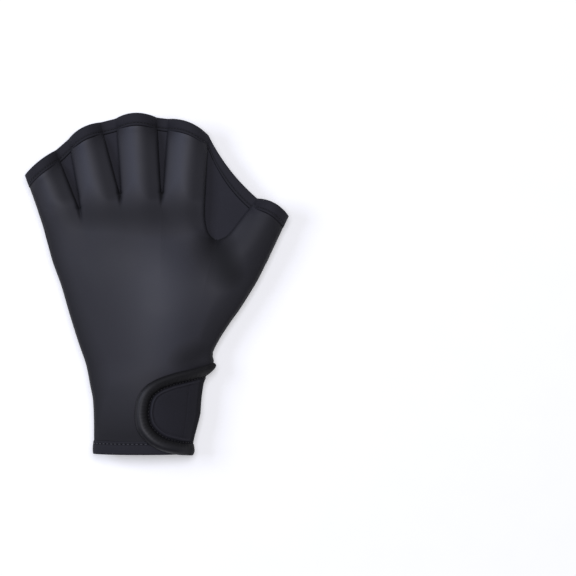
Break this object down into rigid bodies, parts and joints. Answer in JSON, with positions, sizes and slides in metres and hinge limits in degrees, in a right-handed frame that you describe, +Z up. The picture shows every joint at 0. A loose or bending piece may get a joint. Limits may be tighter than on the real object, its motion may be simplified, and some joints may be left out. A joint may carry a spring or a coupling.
{
  "type": "webbed swim glove",
  "caption": "Open-finger webbed swim glove for the left hand: soft padded shell, webs between all fingers, stitched edge band and a D-shaped closing strap at the cuff.",
  "frame": {"origin": "centre of the bounding box in plan, on the ground under the palm side", "axes": "X towards the thumb, Y along the hand towards the fingertips, Z up out of the back of the hand"},
  "size_m": [0.1758, 0.2258, 0.0356],
  "materials": {
    "jersey": "matte jersey-faced foam rubber, near black",
    "web_sheet": "matte thin foam rubber sheet with jersey face, near black",
    "hem_band": "turned and stitched edge of the same cloth",
    "strap": "soft loop-faced foam rubber with a rolled binding, black",
    "hook_tape": "hook tape, black"
  },
  "bodies": {
    "root": {"back_panel": "jersey", "palm_panel": "jersey", "web_ring": "web_sheet", "web_middle": "web_sheet", "web_index": "web_sheet", "web_thumb": "web_sheet", "back_hem": "hem_band", "palm_hem": "hem_band", "cuff_hem": "hem_band", "strap_tab": "strap", "strap_binding": "strap", "hook_pad": "hook_tape"}
  },
  "joints": []
}
